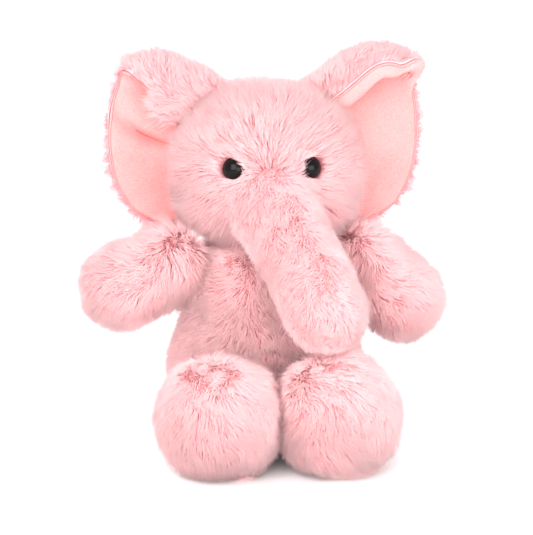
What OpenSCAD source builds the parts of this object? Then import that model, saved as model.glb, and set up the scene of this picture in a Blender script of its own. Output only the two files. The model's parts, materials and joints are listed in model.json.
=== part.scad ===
// Sitting stuffed elephant: fur panels over separate stuffing, jointed where the sewn roots let it move.
// Millimetres. The origin is the centre of the flat seat, +Z is up and the elephant faces -Y.
// Left and right are the elephant's own, so its left side is +X.

/* [Fabric] */
// Thickness of a fur panel: backing cloth and the dense foot of the pile
skin_t = 3; // [1.5:0.5:4]
// Space between a panel and the stuffing under it
ease = 0.1; // [0.05:0.05:0.3]
// Space kept between pieces that move against each other
play = 0.4; // [0.3:0.1:1]
// Radius of the sewing thread
thread_r = 0.6; // [0.3:0.1:0.8]

/* [Torso] */
// Radius of the torso at its widest
torso_r = 45; // [37:1:54]
// Height of the widest place above the seat
torso_wide_z = 32; // [26:1:38]
// Radius of the flat seat
seat_r = 34; // [28:1:36]
// Height of the torso from the seat to its top
torso_h = 97; // [85:1:116]
// Radius of the torso at the shoulders
shoulder_r = 37; // [32:1:42]
// Height of the rounded shoulders, down from the top of the torso
shoulder_round = 24; // [20:1:30]
// Radius of the flat top under the neck
collar_r = 16; // [12:1:19]

/* [Neck and head] */
// Radius of the stuffed neck plug
neck_r = 22; // [18:0.5:25]
// Height of the neck plug's centre above the torso
neck_rise = 3; // [2:0.5:6]
// Half the width of the head, cheek to cheek
head_half_w = 44; // [36:1:53]
// Half the height and half the depth of the head
head_half_h = 37.5; // [33:0.5:39]
// Height of the underside of the head above the neck plug's centre
head_rise = 2; // [1:0.5:5]
// Distance of the head's centre in front of the neck
head_forward = 2; // [0:0.5:5]
// Half the width of the strip that runs over the crown
gusset_half_w = 9; // [6:0.5:10]

/* [Eyes] */
// Radius of an eye's dome
eye_r = 6; // [4:0.5:7]
// Height of an eye's dome
eye_h = 5; // [3:0.5:6]
// Distance of each eye from the middle of the face
eye_x = 18.4; // [17.5:0.1:22]
// Height of the eyes above the head's centre
eye_rise = 4.5; // [4:0.5:12]
// Radius of an eye's stem
stem_r = 1.75; // [1.25:0.25:2.5]
// Length of an eye's stem
stem_len = 13; // [10:1:16]
// Radius of the lock washer on an eye's stem
washer_r = 7; // [5:0.5:8]
// Thickness of the lock washer
washer_t = 1.5; // [1:0.25:2.5]

/* [Trunk] */
// Length from the trunk's start inside the face to the centre of its round tip
trunk_len = 69; // [67:1:84]
// Radius of the trunk where it starts
trunk_root_r = 20; // [18:0.5:22]
// Radius of the trunk along its middle
trunk_r = 17; // [14:0.5:19]
// Radius of the round tip
trunk_tip_r = 16.5; // [15:0.5:19]
// Length from the last bend to the centre of the tip
trunk_tip_len = 20; // [17:0.5:24]
// Length between the two bends
trunk_middle_len = 20.5; // [18:0.5:24]
// Angle by which the trunk hangs towards the elephant's left
trunk_side = 27; // [15:1:35]
// Steepest droop of the trunk below level
trunk_droop_max = 62; // [50:1:65]
// Largest angle by which one bend lifts
trunk_bend_max = 35; // [20:1:40]

/* [Ears] */
// Height of an ear
ear_h = 86; // [72:1:100]
// Width of an ear from edge to edge, its hidden root included
ear_w = 52; // [47:1:62]
// Distance from an ear's root seam to its outer edge
ear_reach = 35; // [29:1:42]
// Thickness of the furry back of an ear
ear_back_t = 5.5; // [4:0.5:7]
// Thickness of the lining on the front of an ear
ear_lining_t = 2.5; // [1.5:0.5:3.5]
// Margin of fur left round the lining
ear_margin = 3; // [2:0.5:6]
// Distance of the ears behind the head's centre
ear_back = 18; // [16:1:22]
// Height of the ears' middles above the head's centre
ear_rise = 8; // [0:1:12]

/* [Arms] */
// Radius of an arm at the shoulder
arm_root_r = 14; // [11.5:0.5:16]
// Radius of the paw
paw_r = 18; // [16.5:0.5:21.5]
// Length from the shoulder to the centre of the paw
arm_len = 29; // [24:1:36]
// Distance of the shoulder seam below the top of the torso
shoulder_drop = 13; // [12:1:20]
// Angle of the shoulders forward of the torso's sides
shoulder_forward = 7; // [0:1:12]
// Angle of the arms forward of straight sideways
arm_forward = 16; // [5:1:25]
// Droop of the left arm below level
arm_left_droop = 40; // [10:1:45]
// Droop of the right arm below level
arm_right_droop = 20; // [10:1:36]

/* [Legs] */
// Radius of a leg at the hip
hip_r = 14; // [11.5:0.5:15]
// Radius of the round foot
foot_r = 28; // [24:0.5:33.5]
// Gap between the two feet
feet_gap = 1; // [0.6:0.2:6]
// Gap between the back of a foot and the belly
foot_back_gap = 5; // [4:0.5:10]
// Distance from a foot's centre to the seam of its sole panel
sole_seam = 19; // [15:0.5:21]

/* [Tail] */
// Radius of the tail at its root
tail_root_r = 5.5; // [4:0.5:6]
// Radius of the tuft at the tail's end
tail_tuft_r = 6; // [5.5:0.5:8]
// Length from the tail's root to the centre of its tuft
tail_len = 22; // [18:1:28]
// Droop of the tail below level
tail_droop = 41; // [10:1:45]
// Height of the tail's root above the seat
tail_z = 26; // [24:1:40]

/* [Weight bag] */
// Radius of the bag of pellets in the seat
bag_r = 28; // [22:1:30]
// Half the height of the bag
bag_half_h = 12; // [9:0.5:13]
// Thickness of the bag's cloth
bag_t = 1; // [0.5:0.25:1.5]
// Radius of a pellet
pellet_r = 2.4; // [1.8:0.2:2.6]
// Distance between pellets
pellet_pitch = 5.6; // [5.4:0.2:8]

/* [Care label] */
// Width of the blank sewn-in label
label_w = 12; // [8:1:18]
// Length of the label outside its seam
label_len = 18; // [12:1:24]
// Thickness of the folded label
label_t = 0.8; // [0.4:0.1:1.2]

/* [Hidden] */

round_fn = 96;
arc_steps = 9;
far = 400;
LEFT = 1;
RIGHT = -1;

neck_z = torso_h + neck_rise;
head_z = neck_z + head_rise + head_half_h;
foot_x = foot_r + feet_gap / 2;
foot_y = -sqrt(pow(torso_r + foot_r + foot_back_gap, 2) - foot_x * foot_x);
hip_y = -sqrt(pow(torso_radius(foot_r) + hip_r + play, 2) - foot_x * foot_x);
leg_len = hip_y - foot_y;
hip_side = atan2(foot_x, -hip_y);

// The trunk droops until its tip hangs just above the left foot, or to its steepest droop.
trunk_start_depth = 11;
trunk_start_drop = 12.5;
trunk_foot_gap = 8;
trunk_start = [0, -head_forward - head_half_h + trunk_start_depth, head_z - trunk_start_drop];
trunk_tip_z = 2 * foot_r + trunk_foot_gap + trunk_tip_r;
trunk_droop = asin(min(sin(trunk_droop_max), (trunk_start.z - trunk_tip_z) / trunk_len));
bend_cut = trunk_r * sin(trunk_bend_max) + play;
second_bend = trunk_len - trunk_tip_len;
first_bend = second_bend - trunk_middle_len;

ear_t = ear_back_t + ear_lining_t;
ear_y = ear_back - head_forward;
ear_z = head_z + ear_rise;
ear_root_gap = 5;
ear_bead_half_h = 20;
ear_root_share = sqrt(1 - pow(ear_back / head_half_h, 2));
ear_hinge_x = head_half_w * ear_root_share + (ear_t / 2 + play) / ear_root_share;

fur_pink = "lightpink";
lining_pink = "peachpuff";

// Points of an arc about [0, height], from angle a to angle b.
function arc(r, height, a, b) = [
    for (i = [0:arc_steps])
        let (angle = a + (b - a) * i / arc_steps)
            [r * cos(angle), height + r * sin(angle)]
];

// Outline of two balls joined by the cone that touches both, drawn in by inset.
function taper_outline(root_r, tip_r, length, inset = 0) =
    let (lean = asin((tip_r - root_r) / length))
        concat(arc(root_r - inset, 0, -90, -lean), arc(tip_r - inset, length, -lean, 90));

// Radius of the torso at a height: a rounded seat edge, a slow curve in to the shoulders, a rounded top.
function torso_radius(z) =
    z < torso_wide_z
        ? seat_r + (torso_r - seat_r) * sqrt(1 - pow(1 - z / torso_wide_z, 2))
        : z < torso_h - shoulder_round
            ? shoulder_r + (torso_r - shoulder_r) * (1 + cos(180 * (z - torso_wide_z)
                / (torso_h - shoulder_round - torso_wide_z))) / 2
            : collar_r + (shoulder_r - collar_r)
                * sqrt(max(0, 1 - pow(1 - (torso_h - z) / shoulder_round, 2)));

// Direction out of the torso's side at a height, as [outwards, upwards].
function torso_normal(z) =
    let (step = 0.5)
        let (slope = (torso_radius(z + step) - torso_radius(z - step)) / (2 * step))
            [1, -slope] / norm([1, -slope]);

// Outline of the torso, drawn in by inset.
function torso_outline(inset = 0) = concat(
    [[0, inset]],
    [
        for (i = [0:36])
            let (z = torso_h * (1 - cos(180 * i / 36)) / 2)
                [torso_radius(z) - inset, inset + z * (torso_h - 2 * inset) / torso_h]
    ],
    [[0, torso_h - inset]]
);

module turned(outline) {
    rotate_extrude($fn = round_fn)
        polygon(outline);
}

module ball(r) {
    sphere(r, $fn = round_fn);
}

// An egg shape round the Z axis.
module egg(half_w, half_h) {
    turned([for (i = [0:24]) [half_w * cos(-90 + 7.5 * i), half_h * sin(-90 + 7.5 * i)]]);
}

// Half of space on the positive side of an axis, from a distance along it.
module beyond(axis, distance = 0) {
    translate((distance + far / 2) * axis)
        cube(far, center = true);
}

// A ring of thread.
module thread_ring(ring_r) {
    rotate_extrude($fn = round_fn)
        translate([ring_r, 0])
            circle(thread_r, $fn = 24);
}

// ---- torso ----

module torso_solid(inset = 0) {
    difference() {
        turned(torso_outline(inset));
        translate([0, 0, neck_z])
            ball(neck_r + play);
    }
}

module torso_skin() {
    difference() {
        torso_solid();
        turned(torso_outline(skin_t));
    }
}

// One wall of the torso, in front of or behind the side seams.
module torso_wall(facing) {
    color(fur_pink)
        intersection() {
            torso_skin();
            beyond([0, facing, 0]);
            beyond([0, 0, 1], skin_t);
        }
}

module torso_base() {
    color(fur_pink)
        intersection() {
            turned(torso_outline());
            beyond([0, 0, -1], -skin_t);
        }
}

module torso_stuffing() {
    color("white")
        difference() {
            torso_solid(skin_t + ease);
            translate([0, 0, bag_z()])
                egg(bag_r + ease, bag_half_h + ease);
        }
}

function bag_z() = skin_t + 3 * ease + bag_half_h;

module pellet_bag() {
    color("ivory")
        translate([0, 0, bag_z()])
            difference() {
                egg(bag_r, bag_half_h);
                egg(bag_r - bag_t, bag_half_h - bag_t);
            }
}

module pellets() {
    room_r = bag_r - bag_t - pellet_r - 2 * ease;
    room_h = bag_half_h - bag_t - pellet_r - 2 * ease;
    across = floor(room_r / pellet_pitch);
    high = floor(room_h / pellet_pitch);
    color("whitesmoke")
        translate([0, 0, bag_z()])
            for (i = [-across:across], j = [-across:across], k = [-high:high])
                if (pow(norm([i, j]) / room_r, 2) + pow(k / room_h, 2) < pow(pellet_pitch, -2))
                    translate([i, j, k] * pellet_pitch)
                        sphere(pellet_r, $fn = 24);
}

// Ladder stitches that close the back after stuffing.
module back_closing_seam() {
    stitch_len = 5;
    stitch_pitch = 4;
    seam_low = 42;
    seam_high = torso_h - shoulder_round;
    color(fur_pink)
        for (z = [seam_low:stitch_pitch:seam_high])
            translate([0, torso_radius(z) + thread_r + ease, z])
                rotate([0, 90, 0])
                    cylinder(h = stitch_len, r = thread_r, center = true, $fn = 24);
}

module care_label() {
    label_side = 50;
    label_z = 8;
    color("white")
        rotate([0, 0, label_side])
            translate([torso_radius(label_z + label_w) + play, -label_t / 2, label_z])
                cube([label_len, label_t, label_w]);
}

// ---- neck and head ----

module neck_plug() {
    color("white")
        translate([0, 0, neck_z])
            ball(neck_r);
}

module neck_seam() {
    color(fur_pink)
        translate([0, 0, torso_h + 2 * thread_r])
            thread_ring(neck_r + 2 * thread_r);
}

module head_egg(inset = 0) {
    translate([0, -head_forward, head_z])
        rotate([0, 90, 0])
            egg(head_half_h - inset, head_half_w - inset);
}

module head_skin() {
    difference() {
        head_egg();
        head_egg(skin_t);
        translate([0, 0, neck_z])
            ball(neck_r + play);
        for (side = [LEFT, RIGHT])
            at_eye(side)
                translate([0, 0, -skin_t * 2])
                    cylinder(h = skin_t * 4, r = stem_r + ease, $fn = 48);
    }
}

module head_side(side) {
    color(fur_pink)
        intersection() {
            head_skin();
            beyond([side, 0, 0], gusset_half_w);
        }
}

module head_gusset() {
    color(fur_pink)
        intersection() {
            head_skin();
            translate([0, -head_forward, head_z])
                cube([2 * gusset_half_w, far, far], center = true);
        }
}

module head_stuffing() {
    color("white")
        difference() {
            head_egg(skin_t + ease);
            translate([0, 0, neck_z])
                ball(neck_r + play);
            for (side = [LEFT, RIGHT])
                at_eye(side) {
                    translate([0, 0, -washer_depth() - washer_t - ease])
                        cylinder(h = far, r = washer_r + ease, $fn = 48);
                    translate([0, 0, -stem_len - ease])
                        cylinder(h = stem_len, r = stem_r + ease, $fn = 48);
                }
        }
}

// ---- eyes ----

// Puts the shapes on the face where an eye sits, with +Z straight out of the face.
module at_eye(side) {
    across = eye_x / head_half_w;
    up = eye_rise / head_half_h;
    out = sqrt(1 - across * across - up * up);
    normal = [side * across / head_half_w, -out / head_half_h, up / head_half_h];
    translate([side * eye_x, -head_forward - head_half_h * out, head_z + eye_rise])
        rotate([0, acos(normal.z / norm(normal)), atan2(normal.y, normal.x)])
            children();
}

// Depth of the washer's upper face: under the panel, which curves away below its rim.
function washer_depth() =
    skin_t + 2 * ease + washer_r * washer_r / (2 * (head_half_h - skin_t));

module eye(side) {
    color("black")
        at_eye(side)
            union() {
                translate([0, 0, ease])
                    turned(concat([[0, 0]], [for (i = [0:9]) [eye_r * cos(10 * i), eye_h * sin(10 * i)]]));
                translate([0, 0, -stem_len])
                    cylinder(h = stem_len + 1, r = stem_r, $fn = 48);
            }
}

module eye_washer(side) {
    grip = 0.05;
    color("white")
        at_eye(side)
            translate([0, 0, -washer_depth() - washer_t])
                difference() {
                    cylinder(h = washer_t, r = washer_r, $fn = 48);
                    translate([0, 0, -1])
                        cylinder(h = washer_t + 2, r = stem_r + grip, $fn = 48);
                }
}

// ---- trunk ----

// Puts the shapes a distance down the trunk, with +Z along it and +Y out of its top.
module along_trunk(distance = 0) {
    translate(trunk_start)
        rotate([90 + trunk_droop, 0, trunk_side])
            translate([0, 0, distance])
                children();
}

// The trunk's root, from its bulge on the face to the first bend, cut back to let that bend lift.
// It is also hollowed a little where an eye or the neck plug comes close.
module trunk_root_solid(inset = 0) {
    difference() {
        along_trunk()
            turned(taper_outline(trunk_root_r, trunk_r, first_bend, inset));
        head_egg(-ease);
        translate([0, 0, neck_z])
            ball(neck_r + play);
        for (side = [LEFT, RIGHT])
            at_eye(side)
                cylinder(h = far, r = eye_r + play, $fn = 96);
        along_trunk(first_bend)
            ball(trunk_r + play);
        along_trunk()
            beyond([0, 0, 1], first_bend - bend_cut);
    }
}

// The trunk between its two bends.
module trunk_middle_solid(inset = 0) {
    along_trunk(first_bend)
        difference() {
            turned(concat(
                arc(trunk_r - inset, 0, -90, 0),
                [[trunk_r - inset, trunk_middle_len - bend_cut], [0, trunk_middle_len - bend_cut]]
            ));
            translate([0, 0, trunk_middle_len])
                ball(trunk_r + play);
        }
}

module trunk_tip_solid(inset = 0) {
    along_trunk(second_bend)
        turned(taper_outline(trunk_r, trunk_tip_r, trunk_tip_len, inset));
}

// The upper or lower fur panel of one stretch of trunk, children 0 without children 1.
module trunk_panel(up) {
    color(fur_pink)
        intersection() {
            difference() {
                children(0);
                children(1);
            }
            along_trunk()
                beyond([0, up, 0]);
        }
}

module trunk_root_panel(up) {
    trunk_panel(up) {
        trunk_root_solid();
        along_trunk()
            turned(taper_outline(trunk_root_r, trunk_r, first_bend, skin_t));
    }
}

module trunk_middle_panel(up) {
    trunk_panel(up) {
        trunk_middle_solid();
        along_trunk(first_bend)
            turned(concat(
                arc(trunk_r - skin_t, 0, -90, 0),
                [[trunk_r - skin_t, trunk_middle_len], [0, trunk_middle_len]]
            ));
    }
}

module trunk_tip_panel(up) {
    trunk_panel(up) {
        trunk_tip_solid();
        trunk_tip_solid(skin_t);
    }
}

// ---- ears ----

// Oval outline of an ear about its root seam, drawn in by inset.
function ear_outline(inset = 0) = [
    for (i = [0:47])
        [ear_reach - ear_w / 2 + (ear_w / 2 - inset) * cos(7.5 * i), (ear_h / 2 - inset) * sin(7.5 * i)]
];

// A flat layer of an ear between two depths, clear of the head.
module ear_layer(near, deep, inset = 0) {
    difference() {
        translate([ear_hinge_x, ear_y + deep, ear_z])
            rotate([90, 0, 0])
                linear_extrude(deep - near)
                    polygon(ear_outline(inset));
        head_egg(-ear_root_gap);
    }
}

module ear_bead(r) {
    translate([ear_hinge_x, ear_y, ear_z])
        cylinder(h = 2 * ear_bead_half_h, r = r, center = true, $fn = 48);
}

module to_side(side) {
    mirror([side == RIGHT ? 1 : 0, 0, 0])
        children();
}

// The furry back of an ear with the rolled bead along its root seam.
module ear_back(side) {
    color(fur_pink)
        to_side(side)
            union() {
                ear_layer(ear_t / 2 - ear_back_t, ear_t / 2);
                ear_bead(ear_t / 2);
            }
}

module ear_lining(side) {
    color(lining_pink)
        to_side(side)
            difference() {
                ear_layer(-ear_t / 2, ear_t / 2 - ear_back_t - ease, ear_margin);
                ear_bead(ear_t / 2 + ease);
            }
}

// ---- arms ----

shoulder_z = torso_h - shoulder_drop;
shoulder_out = torso_normal(shoulder_z);

// Puts the shapes at a distance out from the torso's side on the shoulder seam, +X pointing outwards.
module at_shoulder(side, distance) {
    to_side(side)
        rotate([0, 0, -shoulder_forward])
            translate([torso_radius(shoulder_z), 0, shoulder_z]
                + distance * [shoulder_out.x, 0, shoulder_out.y])
                children();
}

// Puts the shapes at the shoulder with +Z along the arm and -Y forwards.
module along_arm(side) {
    droop = side == LEFT ? arm_left_droop : arm_right_droop;
    at_shoulder(side, arm_root_r + play)
        rotate([0, 90 + droop, shoulder_forward - arm_forward])
            children();
}

module arm_panel(side, facing) {
    color(fur_pink)
        along_arm(side)
            intersection() {
                difference() {
                    turned(taper_outline(arm_root_r, paw_r, arm_len));
                    turned(taper_outline(arm_root_r, paw_r, arm_len, skin_t));
                }
                beyond([0, facing, 0]);
            }
}

module arm_stuffing(side) {
    color("white")
        along_arm(side)
            turned(taper_outline(arm_root_r, paw_r, arm_len, skin_t + ease));
}

// Thread ring that sews a root ball to the torso, in the crease between them and clear of the ball.
module root_seam(root_r) {
    clear_r = root_r + thread_r + 3 * play;
    below = root_r - thread_r;
    color(fur_pink)
        rotate([0, 90, 0])
            thread_ring(sqrt(clear_r * clear_r - below * below));
}

module arm_seam(side) {
    at_shoulder(side, thread_r + play)
        rotate([0, -atan2(shoulder_out.y, shoulder_out.x), 0])
            root_seam(arm_root_r);
}

// ---- legs ----

// Puts the shapes at the hip with +Z along the leg and +Y upwards.
module along_leg(side) {
    translate([side * foot_x, hip_y, foot_r])
        rotate([90, 0, 0])
            children();
}

module leg_skin(side) {
    along_leg(side)
        difference() {
            turned(taper_outline(hip_r, foot_r, leg_len));
            turned(taper_outline(hip_r, foot_r, leg_len, skin_t));
        }
}

// The upper or lower panel of a leg, up to the seam of the sole.
module leg_panel(side, up) {
    color(fur_pink)
        intersection() {
            leg_skin(side);
            translate([0, 0, foot_r])
                beyond([0, 0, up]);
            beyond([0, 1, 0], foot_y - sole_seam);
        }
}

module leg_sole(side) {
    color(fur_pink)
        intersection() {
            leg_skin(side);
            beyond([0, -1, 0], sole_seam - foot_y);
        }
}

module leg_stuffing(side) {
    color("white")
        along_leg(side)
            turned(taper_outline(hip_r, foot_r, leg_len, skin_t + ease));
}

module leg_seam(side) {
    to_side(side)
        rotate([0, 0, hip_side - 90])
            translate([torso_radius(foot_r) + thread_r + play, 0, foot_r])
                root_seam(hip_r);
}

// ---- tail ----

tail_out = torso_normal(tail_z);

// Puts the shapes at a distance out from the back on the tail's seam.
module at_tail(distance) {
    translate([0, torso_radius(tail_z), tail_z] + distance * [0, tail_out.x, tail_out.y])
        children();
}

module tail() {
    color(fur_pink)
        at_tail(tail_root_r + play)
            rotate([-90 - tail_droop, 0, 0])
                turned(taper_outline(tail_root_r, tail_tuft_r, tail_len));
}

module tail_seam() {
    at_tail(thread_r + play)
        rotate([0, -atan2(tail_out.y, tail_out.x), 90])
            root_seam(tail_root_r);
}

// ---- assembly ----

torso_wall(-1);  // torso_front
torso_wall(1);  // torso_back
torso_base();
torso_stuffing();
pellet_bag();
pellets();
back_closing_seam();
care_label();
neck_plug();
neck_seam();
head_side(LEFT);  // head_side_left
head_side(RIGHT);  // head_side_right
head_gusset();
head_stuffing();
trunk_root_panel(1);  // trunk_root_top
trunk_root_panel(-1);  // trunk_root_under
color("white") trunk_root_solid(skin_t + ease);  // trunk_root_stuffing
trunk_middle_panel(1);  // trunk_middle_top
trunk_middle_panel(-1);  // trunk_middle_under
color("white") trunk_middle_solid(skin_t + ease);  // trunk_middle_stuffing
trunk_tip_panel(1);  // trunk_tip_top
trunk_tip_panel(-1);  // trunk_tip_under
color("white") trunk_tip_solid(skin_t + ease);  // trunk_tip_stuffing
eye(LEFT);  // eye_left
eye(RIGHT);  // eye_right
eye_washer(LEFT);  // eye_washer_left
eye_washer(RIGHT);  // eye_washer_right
ear_back(LEFT);  // ear_left_back
ear_lining(LEFT);  // ear_left_lining
ear_back(RIGHT);  // ear_right_back
ear_lining(RIGHT);  // ear_right_lining
arm_panel(LEFT, -1);  // arm_left_front
arm_panel(LEFT, 1);  // arm_left_rear
arm_stuffing(LEFT);  // arm_left_stuffing
arm_seam(LEFT);  // arm_left_seam
arm_panel(RIGHT, -1);  // arm_right_front
arm_panel(RIGHT, 1);  // arm_right_rear
arm_stuffing(RIGHT);  // arm_right_stuffing
arm_seam(RIGHT);  // arm_right_seam
leg_panel(LEFT, 1);  // leg_left_upper
leg_panel(LEFT, -1);  // leg_left_under
leg_sole(LEFT);  // leg_left_sole
leg_stuffing(LEFT);  // leg_left_stuffing
leg_seam(LEFT);  // leg_left_seam
leg_panel(RIGHT, 1);  // leg_right_upper
leg_panel(RIGHT, -1);  // leg_right_under
leg_sole(RIGHT);  // leg_right_sole
leg_stuffing(RIGHT);  // leg_right_stuffing
leg_seam(RIGHT);  // leg_right_seam
tail();
tail_seam();
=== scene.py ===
"""Looks of the sitting stuffed elephant: long-pile fur over stuffed panels, lined ears and dome eyes.

Metres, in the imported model's frame: the origin is the middle of the flat seat, +Z is up, the elephant
faces -Y and its left is +X. Every fur panel is a backing cloth with strands of pile planted on it, both
worked out with numpy from a form turned about an axis. Each carries two numbers per point: along, from 0 at
the foot of the pile to 1 at its tips, and tone, which differs from lock to lock.
"""
import json

import bpy
import numpy as np
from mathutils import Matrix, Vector


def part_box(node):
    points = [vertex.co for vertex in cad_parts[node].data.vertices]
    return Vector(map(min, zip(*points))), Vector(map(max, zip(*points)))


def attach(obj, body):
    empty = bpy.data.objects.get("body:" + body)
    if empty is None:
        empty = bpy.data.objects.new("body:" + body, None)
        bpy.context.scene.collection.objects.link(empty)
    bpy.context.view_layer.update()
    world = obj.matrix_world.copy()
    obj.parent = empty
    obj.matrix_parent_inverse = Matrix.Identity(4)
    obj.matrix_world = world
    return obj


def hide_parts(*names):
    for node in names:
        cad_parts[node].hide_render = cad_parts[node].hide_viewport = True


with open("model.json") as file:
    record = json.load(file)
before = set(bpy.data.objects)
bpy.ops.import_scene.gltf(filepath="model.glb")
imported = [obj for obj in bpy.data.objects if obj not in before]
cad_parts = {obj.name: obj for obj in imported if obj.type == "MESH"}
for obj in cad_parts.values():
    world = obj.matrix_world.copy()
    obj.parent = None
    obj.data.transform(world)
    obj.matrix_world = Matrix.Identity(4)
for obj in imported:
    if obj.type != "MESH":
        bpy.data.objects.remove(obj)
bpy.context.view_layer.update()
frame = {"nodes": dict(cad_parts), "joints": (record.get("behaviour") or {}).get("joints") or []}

MM = 0.001
LEFT = 1
RIGHT = -1
SIDES = ((LEFT, "left"), (RIGHT, "right"))
UP = np.array([0.0, 0.0, 1.0])


# ---- camera, floor and light ----

VIEW_AZIMUTH = -5.0
VIEW_ELEVATION = 14.5
VIEW_LENS = 190.0
VIEW_DISTANCE = 1.46
VIEW_AIM = (0.0025, 0.0231, 0.0785)
LIGHT_AIM = (0.0, -0.02, 0.09)
FLOOR_HALF = 4.0


def unit(vectors):
    """Vectors divided by their own lengths."""
    return vectors / np.maximum(np.linalg.norm(vectors, axis=-1, keepdims=True), 1e-12)


def place_camera():
    """A long lens aimed at the elephant from a distance, an azimuth and an elevation."""
    azimuth, elevation = np.radians([VIEW_AZIMUTH, VIEW_ELEVATION])
    back = Vector((
        np.sin(azimuth) * np.cos(elevation),
        -np.cos(azimuth) * np.cos(elevation),
        np.sin(elevation),
    ))
    camera = bpy.data.objects.new("camera", bpy.data.cameras.new("camera"))
    camera.data.lens = VIEW_LENS
    camera.location = Vector(VIEW_AIM) + back * VIEW_DISTANCE
    camera.rotation_euler = (-back).to_track_quat("-Z", "Y").to_euler()
    bpy.context.scene.collection.objects.link(camera)
    bpy.context.scene.camera = camera


def place_light(name, place, size, watts):
    """A square soft box at a place, turned to the middle of the elephant."""
    light = bpy.data.lights.new(name, "AREA")
    light.size = size
    light.energy = watts
    lamp = bpy.data.objects.new(name, light)
    lamp.location = place
    aim = Vector(LIGHT_AIM) - Vector(place)
    lamp.rotation_euler = aim.to_track_quat("-Z", "Y").to_euler()
    bpy.context.scene.collection.objects.link(lamp)


def linear(colour):
    """An sRGB hex colour as linear red, green, blue and alpha."""
    parts = np.array([int(colour[i:i + 2], 16) for i in (1, 3, 5)]) / 255
    light = np.where(parts <= 0.04045, parts / 12.92, ((parts + 0.055) / 1.055) ** 2.4)
    return (*light.tolist(), 1.0)


place_camera()
place_light("key_softbox", (-0.45, -1.1, 0.7), 1.0, 17.5)
place_light("fill_softbox", (0.55, -1.15, 0.16), 1.0, 17.5)
place_light("top_softbox", (0.1, 0.35, 1.1), 0.8, 2.0)
place_light("back_softbox", (-0.2, 1.2, 0.6), 1.0, 9.0)
world = bpy.data.worlds.new("studio")
world.use_nodes = True
world.node_tree.nodes["Background"].inputs["Color"].default_value = (1.0, 0.92, 0.93, 1.0)
world.node_tree.nodes["Background"].inputs["Strength"].default_value = 1.25
bpy.context.scene.world = world
bpy.context.scene.view_settings.view_transform = "Standard"


# ---- materials ----

def node(tree, kind, settings=None, **links):
    """Adds a node, with its settings, and its inputs set to values or linked to other nodes' outputs."""
    made = tree.nodes.new(kind)
    for name, value in (settings or {}).items():
        setattr(made, name, value)
    for name, value in links.items():
        socket = made.inputs[name.replace("_", " ")]
        if isinstance(value, bpy.types.NodeSocket):
            tree.links.new(value, socket)
        else:
            socket.default_value = value
    return made


def material(name, **surface):
    """A new material with one Principled shader, and that shader's plain values."""
    made = bpy.data.materials.new(name)
    made.use_nodes = True
    shader = made.node_tree.nodes["Principled BSDF"]
    for socket, value in surface.items():
        shader.inputs[socket.replace("_", " ")].default_value = value
    return made, made.node_tree, shader


def ramp(tree, fac, stops):
    """A colour ramp through (place, hex colour) stops."""
    made = node(tree, "ShaderNodeValToRGB")
    elements = made.color_ramp.elements
    while len(elements) < len(stops):
        elements.new(0.5)
    for element, (place, colour) in zip(elements, stops):
        element.position = place
        element.color = linear(colour)
    tree.links.new(fac, made.inputs["Fac"])
    return made


def add_colour(tree, shader, fac, stops):
    """Base colour from a ramp."""
    tree.links.new(ramp(tree, fac, stops).outputs["Color"], shader.inputs["Base Color"])


def add_roughness(tree, shader, fac, first, last):
    """Roughness that follows a factor, from one value to another."""
    spread = node(tree, "ShaderNodeMapRange", {}, Value=fac, To_Min=first, To_Max=last)
    tree.links.new(spread.outputs["Result"], shader.inputs["Roughness"])


def add_relief(tree, shader, height, strength, depth):
    """Bump from a height, of a depth in metres."""
    relief = node(tree, "ShaderNodeBump", {}, Height=height, Strength=strength, Distance=depth)
    tree.links.new(relief.outputs["Normal"], shader.inputs["Normal"])


def plush_pile():
    """Acrylic plush pile, dyed pink with pale tips: its foot is painted a deeper coral, painted shade for
    the depths of the pile.
    """
    made, tree, shader = material("acrylic_plush_pile", Sheen_Weight=0.15, Sheen_Roughness=0.5)
    along = node(tree, "ShaderNodeAttribute", {"attribute_name": "along"})
    tone = node(tree, "ShaderNodeAttribute", {"attribute_name": "tone"})
    # Both ramps run from a deeper coral at the foot to pale at the tips: the coral foot is painted shade for
    # the depths of the pile.
    pale = ramp(tree, along.outputs["Fac"], ((0.0, "#FEB3B8"), (0.4, "#FEC9CC"), (1.0, "#FEDAD9")))
    rich = ramp(tree, along.outputs["Fac"], ((0.0, "#FEA4AB"), (0.4, "#FEBFC3"), (1.0, "#FED2D3")))
    mixed = node(tree, "ShaderNodeMix", {"data_type": "RGBA"})
    tree.links.new(tone.outputs["Fac"], mixed.inputs["Factor"])
    tree.links.new(rich.outputs["Color"], mixed.inputs[6])
    tree.links.new(pale.outputs["Color"], mixed.inputs[7])
    tree.links.new(mixed.outputs[2], shader.inputs["Base Color"])
    add_roughness(tree, shader, along.outputs["Fac"], 0.9, 0.6)
    return made


def eye_plastic():
    """Moulded black acrylic, polished: near-black with a sharp highlight, faintly dusted."""
    made, tree, shader = material("moulded_black_acrylic", Specular_IOR_Level=0.15, IOR=1.49)
    place = node(tree, "ShaderNodeTexCoord").outputs["Object"]
    dust = node(tree, "ShaderNodeTexNoise", {}, Vector=place, Scale=900.0, Detail=3.0)
    add_colour(tree, shader, dust.outputs["Fac"], ((0.35, "#050404"), (0.8, "#0E0B0B")))
    add_roughness(tree, shader, dust.outputs["Fac"], 0.03, 0.09)
    return made


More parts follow.
